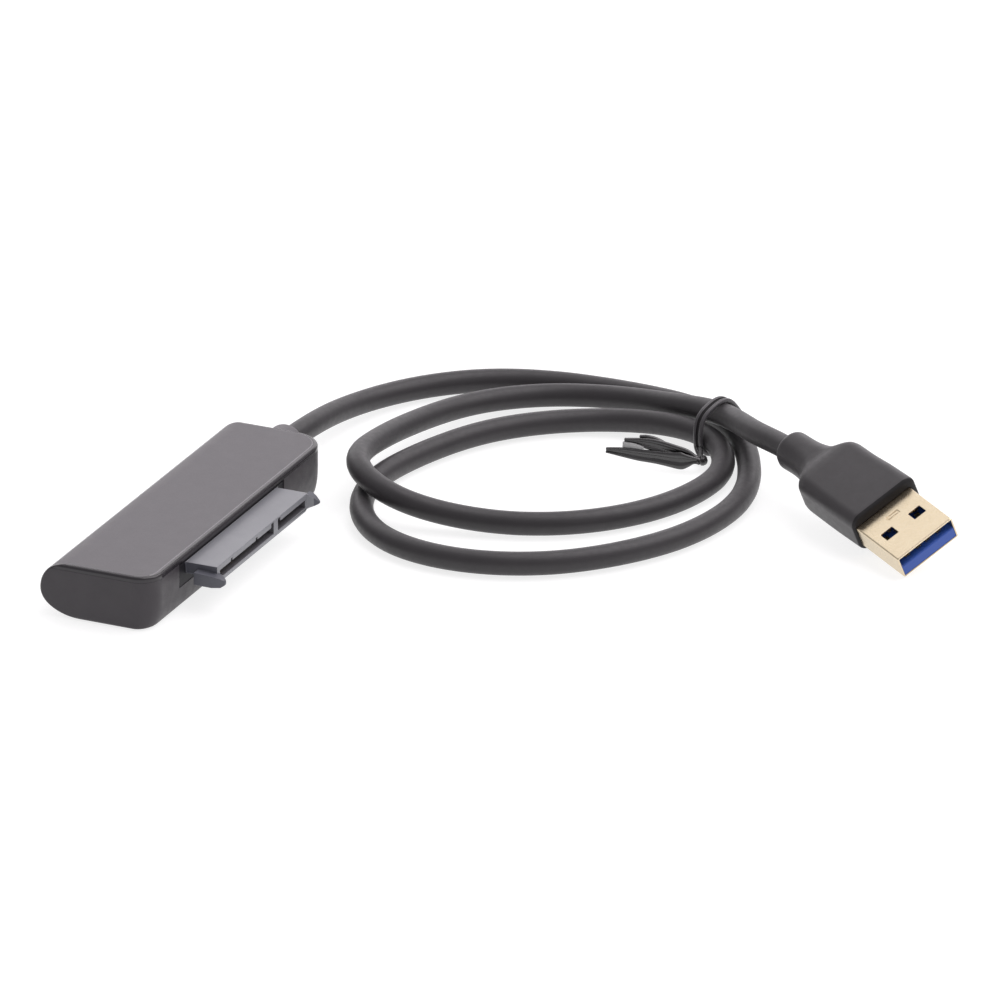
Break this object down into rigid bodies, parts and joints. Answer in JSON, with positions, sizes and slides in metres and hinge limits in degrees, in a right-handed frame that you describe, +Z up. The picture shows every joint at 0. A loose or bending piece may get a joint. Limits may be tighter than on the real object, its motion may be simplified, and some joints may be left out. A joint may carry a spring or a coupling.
{
  "type": "usb to sata adapter",
  "caption": "Slim dark case with a SATA receptacle on its long side and a thin coiled cable, held by a twist tie, that ends in a USB-A plug with a blue tongue.",
  "frame": {"origin": "under the middle of case, receptacle and strain relief taken together, at the height of the table", "axes": "+Z up; +X out of the SATA receptacle's mouth; +Y along the case, towards the end where the cable leaves"},
  "size_m": [0.1346, 0.1291, 0.0147],
  "materials": {
    "case_plastic": "fine satin texture, dark grey",
    "cover_plastic": "fine matte texture, dark grey, with a smooth bright rim",
    "relief_rubber": "matte dark grey",
    "board_laminate": "green solder mask",
    "chip_epoxy": "matte black",
    "crystal_can": "plated can",
    "inductor_ferrite": "matte grey",
    "capacitor_ceramic": "tan",
    "wire_power_jacket": "red",
    "wire_data_minus_jacket": "white",
    "wire_shield_drain_jacket": "grey",
    "wire_data_plus_jacket": "green",
    "wire_ground_jacket": "black",
    "receptacle_plastic": "bluish dark grey, satin",
    "sata_contact_gold": "gold plated",
    "cable_jacket": "satin soft jacket, near black",
    "tie_plastic": "black",
    "plug_overmould": "satin dark grey, bare",
    "plug_shell_plate": "bright plate with a champagne tint",
    "plug_insulator": "blue",
    "usb_contact_gold": "gold plated"
  },
  "bodies": {
    "root": {"bottom_shell": "case_plastic", "top_cover": "cover_plastic", "strain_relief": "relief_rubber", "circuit_board": "board_laminate", "bridge_chip": "chip_epoxy", "memory_chip": "chip_epoxy", "clock_crystal": "crystal_can", "power_inductor": "inductor_ferrite", "input_capacitor": "capacitor_ceramic", "output_capacitor": "capacitor_ceramic", "wire_power": "wire_power_jacket", "wire_data_minus": "wire_data_minus_jacket", "wire_shield_drain": "wire_shield_drain_jacket", "wire_data_plus": "wire_data_plus_jacket", "wire_ground": "wire_ground_jacket", "sata_housing": "receptacle_plastic", "sata_power_contact_01": "sata_contact_gold", "sata_power_contact_02": "sata_contact_gold", "sata_power_contact_03": "sata_contact_gold", "sata_power_contact_04": "sata_contact_gold", "sata_power_contact_05": "sata_contact_gold", "sata_power_contact_06": "sata_contact_gold", "sata_power_contact_07": "sata_contact_gold", "sata_power_contact_08": "sata_contact_gold", "sata_power_contact_09": "sata_contact_gold", "sata_power_contact_10": "sata_contact_gold", "sata_power_contact_11": "sata_contact_gold", "sata_power_contact_12": "sata_contact_gold", "sata_power_contact_13": "sata_contact_gold", "sata_power_contact_14": "sata_contact_gold", "sata_power_contact_15": "sata_contact_gold", "sata_signal_contact_01": "sata_contact_gold", "sata_signal_contact_02": "sata_contact_gold", "sata_signal_contact_03": "sata_contact_gold", "sata_signal_contact_04": "sata_contact_gold", "sata_signal_contact_05": "sata_contact_gold", "sata_signal_contact_06": "sata_contact_gold", "sata_signal_contact_07": "sata_contact_gold", "cable": "cable_jacket", "twist_tie": "tie_plastic", "usb_overmold": "plug_overmould", "usb_shell": "plug_shell_plate", "usb_insulator": "plug_insulator", "usb_contact_1": "usb_contact_gold", "usb_contact_2": "usb_contact_gold", "usb_contact_3": "usb_contact_gold", "usb_contact_4": "usb_contact_gold", "usb_fast_contact_1": "usb_contact_gold", "usb_fast_contact_2": "usb_contact_gold", "usb_fast_contact_3": "usb_contact_gold", "usb_fast_contact_4": "usb_contact_gold", "usb_fast_contact_5": "usb_contact_gold"}
  },
  "joints": []
}
